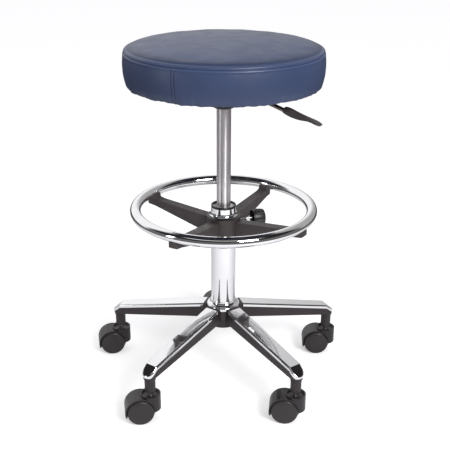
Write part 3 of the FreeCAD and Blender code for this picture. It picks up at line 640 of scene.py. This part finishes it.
def seat_angles():
    """Angles round the seat, packed closer at the band's side seam."""
    fine = 0.45 * MM / SEAT_R
    near = 9 * MM / SEAT_R
    angles = [SIDE_SEAM - near + i * fine for i in range(int(2 * near / fine) + 1)]
    rest = 2 * math.pi - 2 * near
    steps = 400
    angles += [SIDE_SEAM + near + rest * i / steps for i in range(1, steps)]
    return angles


def seam_relief(drop, angle, z):
    """How far the cover stands out at a distance down its section from the top seam."""
    radial = round_z(angle)
    wander = 0.22 * MM * noise.noise(radial * 9 + Vector((0, 0, 3.1)))
    relief = -0.9 * MM * bell(drop, 0.8 * MM) - 1.5 * MM * bell(drop + PANEL_CREASE, 3.4 * MM)
    flange = smoothstep(-PANEL_EDGE - 1.6 * MM, -PANEL_EDGE, drop)
    flange *= 1 - smoothstep(-1.6 * MM, -0.5 * MM, drop)
    relief += (0.75 * MM + wander) * flange
    relief -= 0.45 * MM * bell(drop + STITCH_ROW, 0.8 * MM)
    relief += 0.65 * MM * bell(drop - 3.2 * MM, 2.0 * MM)
    pucker = noise.noise(radial * 26 + Vector((0, 0, 7.7)))
    relief += 0.30 * MM * pucker * bell(drop - 4.0 * MM, 6.0 * MM)
    return relief + join_relief(drop, angle, z)


def join_relief(drop, angle, z):
    """The felled strip and its two sunk lines where the band's ends are joined."""
    aside = abs(angle - SIDE_SEAM) * SEAT_R
    if aside >= 12 * MM:
        return 0.0
    on_band = smoothstep(0.6 * MM, 2.2 * MM, drop)
    on_band *= smoothstep(SEAT_BASE - 1 * MM, SEAT_BASE + 1 * MM, z)
    strip = 1 - smoothstep(SIDE_SEAM_HALF - 0.4 * MM, SIDE_SEAM_HALF + 0.2 * MM, aside)
    lines = bell(aside - SIDE_SEAM_HALF, 0.7 * MM)
    return on_band * (0.45 * MM * strip - 0.95 * MM * lines)


def tuck_relief(angle, radius, z):
    """Small gathers where the cover is pulled under the board, as (outward, downward)."""
    low = 1 - smoothstep(SEAT_BASE + 1 * MM, SEAT_BASE + 17 * MM, z)
    turned_in = SEAT_R - 12 * MM
    if radius < turned_in and z < SEAT_BASE + 5 * MM:
        low *= smoothstep(LINING_R, turned_in, radius)
    radial = round_z(angle)
    coarse = noise.noise(radial * 5.5)
    fine = noise.noise(radial * 19.0 + Vector((0, 0, 4.4)))
    sharp = -abs(noise.noise(radial * 13.0 + Vector((0, 0, 9.2))))
    out_by = low * (0.9 * MM * fine + 1.3 * MM * sharp)
    down_by = low * (1.7 * MM * coarse + 1.1 * MM * fine + 0.7 * MM * sharp)
    return out_by, down_by


def cover_section():
    """The cover's half section, finest near the top seam, and which of its points is the seam."""
    fine = resampled(seat_outline(), 0.35 * MM)
    shoulder = next(i for i, p in enumerate(fine) if p.x > SEAT_R - 30 * MM)
    seam = next(i for i, p in enumerate(fine) if p.y < SEAM_Z)
    fine_from = seam - 28
    fine_to = seam + 22
    kept = [*range(0, shoulder, 20), *range(shoulder, fine_from, 3), *range(fine_from, fine_to),
            *range(fine_to, len(fine), 3)]
    return [fine[i] for i in kept], kept.index(seam)


def cover_points(section, drops, angles):
    """The cover's outer surface, row by row round the seat, each row from the crown down."""
    core = simulated_core()
    normals = [outward(section, index) for index in range(len(section))]
    points = []
    for angle in angles:
        radial = round_z(angle)
        for p, n2, drop in zip(section, normals, drops):
            normal = radial * n2.x + Vector((0, 0, n2.y))
            at = radial * p.x + Vector((0, 0, p.y))
            out_by, down_by = tuck_relief(angle, p.x, p.y)
            raised = seam_relief(drop, angle, p.y)
            if core is not None:
                raised += swell_at(core, at, normal)
            moved = at + normal * raised + radial * out_by
            moved.z -= down_by
            points.append(moved)
    return points


def closed_cover(points, angles, wide):
    """Adds the crown's middle and the recess for the board, and gives all points and faces."""
    rows = len(angles)
    recess_top = board_high.z + 0.6 * MM
    recess = [(LINING_R + 0.9 * MM, SEAT_BASE + 2.3 * MM), (BOARD_R + 0.8 * MM, SEAT_BASE + 2.6 * MM),
              (BOARD_R + 0.8 * MM, recess_top), (60 * MM, recess_top)]
    deep = len(recess)
    crown = len(points)
    start = crown + 1
    middle = start + rows * deep
    crown_z = sum(points[row * wide].z for row in range(rows)) / rows
    inner = [(r * math.cos(angle), r * math.sin(angle), z) for angle in angles for r, z in recess]
    faces = wrapped_quads(rows, wide, first_column=1) + wrapped_quads(rows, deep, start)
    for row in range(rows):
        other = (row + 1) % rows
        outer_here = row * wide
        outer_there = other * wide
        inner_here = start + row * deep
        inner_there = start + other * deep
        faces.append((crown, outer_here + 1, outer_there + 1))
        faces.append((outer_here + wide - 1, inner_here, inner_there, outer_there + wide - 1))
        faces.append((inner_here + deep - 1, middle, inner_there + deep - 1))
    return [*points, (0.0, 0.0, crown_z), *inner, (0.0, 0.0, recess_top)], faces


def seat_cover_piece():
    """Sewn cover over the foam: crowned top, seam allowance, band with its join, turned edge."""
    section, at_seam = cover_section()
    lengths = running_lengths(section)
    drops = [along - lengths[at_seam] for along in lengths]
    angles = seat_angles()
    outside = cover_points(section, drops, angles)
    points, faces = closed_cover(outside, angles, len(section))
    cover = mesh_piece("seat_upholstery", points, faces, VINYL)
    drop_loose(cover)
    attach(cover, "seat")
    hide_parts("seat_cover", "foam_pad")
    grid = np.array([tuple(p) for p in outside]).reshape(len(angles), len(section), 3)
    return grid, np.array(angles), np.array(drops)


def stitch_row(name, line, normals):
    """Threads lying end to end along a line: each one dips in the cover at both ends."""
    lengths = running_lengths(line)
    count = int(lengths[-1] / STITCH_PITCH)
    thread_r = 0.36 * MM
    # along the stitch, its width and how far its middle stands off the cover
    profile = ((0.0, 0.35, -0.7), (0.12, 0.8, 0.15), (0.5, 1.0, 0.75), (0.88, 0.8, 0.15),
               (1.0, 0.35, -0.7))
    xs = [[p[axis] for p in line] for axis in range(3)]
    ns = [[n[axis] for n in normals] for axis in range(3)]
    points = []
    faces = []
    for index in range(count):
        begin = (index + 0.5) * lengths[-1] / count - STITCH_LENGTH / 2
        faces += tube_faces(len(points), len(profile), THREAD_SIDES)
        for part, width, lift in profile:
            at = begin + part * STITCH_LENGTH
            centre = Vector([float(np.interp(at, lengths, x)) for x in xs])
            ahead = Vector([float(np.interp(at + 0.1 * MM, lengths, x)) for x in xs])
            normal = Vector([float(np.interp(at, lengths, n)) for n in ns]).normalized()
            along = (ahead - centre).normalized()
            side = normal.cross(along).normalized()
            for turn in range(THREAD_SIDES):
                angle = 2 * math.pi * turn / THREAD_SIDES
                around = side * math.cos(angle) + normal * math.sin(angle)
                points.append(centre + normal * lift * thread_r + around * thread_r * width)
    stitches = mesh_piece(name, points, faces, THREAD)
    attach(stitches, "seat")


def grid_normals(grid, column):
    """Outward normals of the cover's grid along one ring of it."""
    rows = len(grid)
    made = []
    for row in range(rows):
        around = Vector(grid[(row + 1) % rows, column] - grid[row - 1, column])
        down = Vector(grid[row, column + 1] - grid[row, column - 1])
        made.append(down.cross(around).normalized())
    return made


def seat_stitches(grid, angles, drops):
    """The row of stitches above the top seam and the two rows down the band's join."""
    column = int(np.argmin(np.abs(drops + STITCH_ROW)))
    ring = [Vector(p) for p in grid[:, column]]
    normals = grid_normals(grid, column)
    if normals[0].dot(ring[0]) < 0:
        normals = [-n for n in normals]
    stitch_row("top_stitches", ring + [ring[0]], normals + [normals[0]])
    first = int(np.argmin(np.abs(drops - 2.5 * MM)))
    last = int(np.argmax(grid[0, :, 2] < SEAT_BASE + 3 * MM))
    for label, side in (("left", -1), ("right", 1)):
        row = int(np.argmin(np.abs(angles - (SIDE_SEAM + side * SIDE_SEAM_HALF / SEAT_R))))
        line = [Vector(p) for p in grid[row, first:last]]
        out = [Vector((p.x, p.y, 0)).normalized() for p in line]
        stitch_row("join_stitches_" + label, line, out)


def seat_staples():
    """Staples that hold the cover's turned-in edge to the board, driven from below."""
    count = 44
    half = 5.0 * MM
    leg = 2.0 * MM
    wire_r = 0.45 * MM
    middle = Vector((0, 0, SEAT_BASE + 0.2 * MM))
    ring_r = LINING_R + 5.5 * MM
    corners = [(-half, leg), (-half, 0.2 * MM), (-half + 0.5 * MM, -0.3 * MM),
               (half - 0.5 * MM, -0.3 * MM), (half, 0.2 * MM), (half, leg)]
    points = []
    faces = []
    for index in range(count):
        angle = 2 * math.pi * (index + 0.15 * math.sin(index * 2.4)) / count
        radial = round_z(angle)
        tilt = 0.16 * math.sin(index * 1.7)
        along = (round_z(angle + math.pi / 2) + radial * tilt).normalized()
        faces += tube_faces(len(points), len(corners), THREAD_SIDES)
        for number, (aside, up) in enumerate(corners):
            before = corners[max(0, number - 1)]
            after = corners[min(len(corners) - 1, number + 1)]
            step = (along * (after[0] - before[0]) + Vector((0, 0, after[1] - before[1]))).normalized()
            flat = radial.cross(step).normalized()
            centre = middle + radial * ring_r + along * aside + Vector((0, 0, up))
            for turn in range(THREAD_SIDES):
                a = 2 * math.pi * turn / THREAD_SIDES
                points.append(centre + (radial * math.cos(a) + flat * math.sin(a)) * wire_r)
    staples = mesh_piece("seat_staples", points, faces, ZINC)
    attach(staples, "seat")


seat_grid, seat_turns, seat_drops = seat_cover_piece()
seat_stitches(seat_grid, seat_turns, seat_drops)
seat_staples()

# ---------------------------------------------------------------- floor, light and camera


def floor():
    """Plain pale floor, spreading towards the back so that it fills the view."""
    near = -2.3
    bend = 0.9
    back = 14.0
    narrow = 1.7
    broad = 9.0
    outline = [(-narrow, near, 0), (narrow, near, 0), (narrow, bend, 0), (broad, back, 0),
               (-broad, back, 0), (-narrow, bend, 0)]
    ground = mesh_piece("floor", outline, [tuple(range(len(outline)))], floor_paint(), smooth=False)


def floor_paint():
    """White paper floor, lit up where it is looked at; what shines sees only its near part bright."""
    material, tree, shader = new_material("pale_floor")
    vector = place(tree)
    path = add(tree, "ShaderNodeLightPath")
    looked_at = path.outputs["Is Camera Ray"]
    pale = blend_colors(tree, cloud(tree, vector, 0.7, 2.0), (0.90, 0.895, 0.895), (0.92, 0.915, 0.915))
    reach = length(tree, vector)
    far = spread(tree, reach, 0.92, 1.30, 0.0, 1.0)
    forward = product(tree, combine(tree, axes(tree, vector)["Y"], reach, "DIVIDE"), -1.0)
    in_front = spread(tree, forward, -0.6, 0.9, 0.0, 1.0)
    near = blend_colors(tree, in_front, (0.72, 0.72, 0.73), (0.90, 0.90, 0.91))
    mirrored = blend_colors(tree, far, near, (0.10, 0.08, 0.08))
    bounced = blend_colors(tree, path.outputs["Is Glossy Ray"], (0.45, 0.45, 0.46), mirrored)
    tree.links.new(blend_colors(tree, looked_at, bounced, pale), shader.inputs["Base Color"])
    shader.inputs["Roughness"].default_value = 0.9
    shader.inputs["Specular IOR Level"].default_value = 0.0
    shader.inputs["Emission Color"].default_value = (1.0, 0.995, 0.995, 1.0)
    tree.links.new(product(tree, looked_at, 0.36), shader.inputs["Emission Strength"])
    return material


def studio_world():
    """White soft light, strongest from above; what shines sees a dark studio, bright behind."""
    world = bpy.data.worlds.new("studio")
    world.use_nodes = True
    tree = world.node_tree
    tree.nodes.clear()
    coords = add(tree, "ShaderNodeTexCoord")
    way = axes(tree, coords.outputs["Generated"])
    wall_back = spread(tree, way["Y"], 0.05, 0.35, 0.0, 1.0)
    wall_top = spread(tree, way["Z"], 0.78, 0.90, 1.0, 0.0)
    wall_foot = spread(tree, way["Z"], -0.02, 0.02, 0.0, 1.0)
    wall_dim = spread(tree, way["X"], -0.10, 0.45, 1.0, 0.40)
    wall = product(tree, wall_back, wall_top, wall_foot, wall_dim)
    bar_foot = spread(tree, way["Z"], 0.70, 0.75, 0.0, 1.0)
    bar_top = spread(tree, way["Z"], 0.80, 0.85, 1.0, 0.0)
    bar_front = spread(tree, way["Y"], -0.40, -0.25, 1.0, 0.0)
    bar = product(tree, bar_foot, bar_top, bar_front, 0.85)
    haze = spread(tree, way["Z"], 0.22, 0.45, 0.13, 0.0)
    glow = combine(tree, wall, combine(tree, bar, haze, "MAXIMUM"), "MAXIMUM")
    seen = blend_colors(tree, glow, (0.020, 0.017, 0.018), (0.98, 0.97, 0.98))
    sky = spread(tree, way["Z"], 0.15, 0.80, 0.0, 1.0)
    felt = blend_colors(tree, sky, (0.16, 0.16, 0.17), (0.84, 0.84, 0.86))
    path = add(tree, "ShaderNodeLightPath")
    lit = blend_colors(tree, path.outputs["Is Glossy Ray"], felt, seen)
    mixed = blend_colors(tree, path.outputs["Is Camera Ray"], lit, (1.0, 0.995, 0.997))
    light = add(tree, "ShaderNodeBackground", {"Strength": 1.0})
    tree.links.new(mixed, light.inputs["Color"])
    out = add(tree, "ShaderNodeOutputWorld")
    tree.links.new(light.outputs[0], out.inputs["Surface"])
    bpy.context.scene.world = world


def softbox(name, place_at, aim, width, height, power):
    """A rectangular soft light that faces a point."""
    data = bpy.data.lights.new(name, "AREA")
    data.shape = "RECTANGLE"
    data.size = width
    data.size_y = height
    data.energy = power
    lamp = bpy.data.objects.new(name, data)
    bpy.context.scene.collection.objects.link(lamp)
    facing = (Vector(place_at) - Vector(aim)).to_track_quat("Z", "Y")
    lamp.matrix_world = Matrix.Translation(place_at) @ facing.to_matrix().to_4x4()


def camera():
    """Photographer's camera: in front, above, looking down at the foot ring."""
    data = bpy.data.cameras.new("camera")
    data.sensor_width = 36.0
    data.lens = 67.525
    data.shift_x = 0.0033
    data.clip_end = 60.0
    seat_camera = bpy.data.objects.new("camera", data)
    bpy.context.scene.collection.objects.link(seat_camera)
    down = math.radians(22.022)
    roll = math.radians(0.2)
    distance = 1.57865
    height = 0.96764
    turn = Matrix.Rotation(math.pi / 2 - down, 4, "X") @ Matrix.Rotation(roll, 4, "Z")
    seat_camera.matrix_world = Matrix.Translation((0.0, -distance, height)) @ turn
    bpy.context.scene.camera = seat_camera


floor()
studio_world()
softbox("key", (1.15, -1.95, 1.75), aim=(0.0, 0.0, 0.4), width=0.95, height=0.85, power=49.0)
softbox("side", (-1.9, -1.0, 0.75), aim=(0.0, 0.0, 0.45), width=0.35, height=1.1, power=4.0)
camera()
bpy.context.scene.view_settings.view_transform = "Standard"
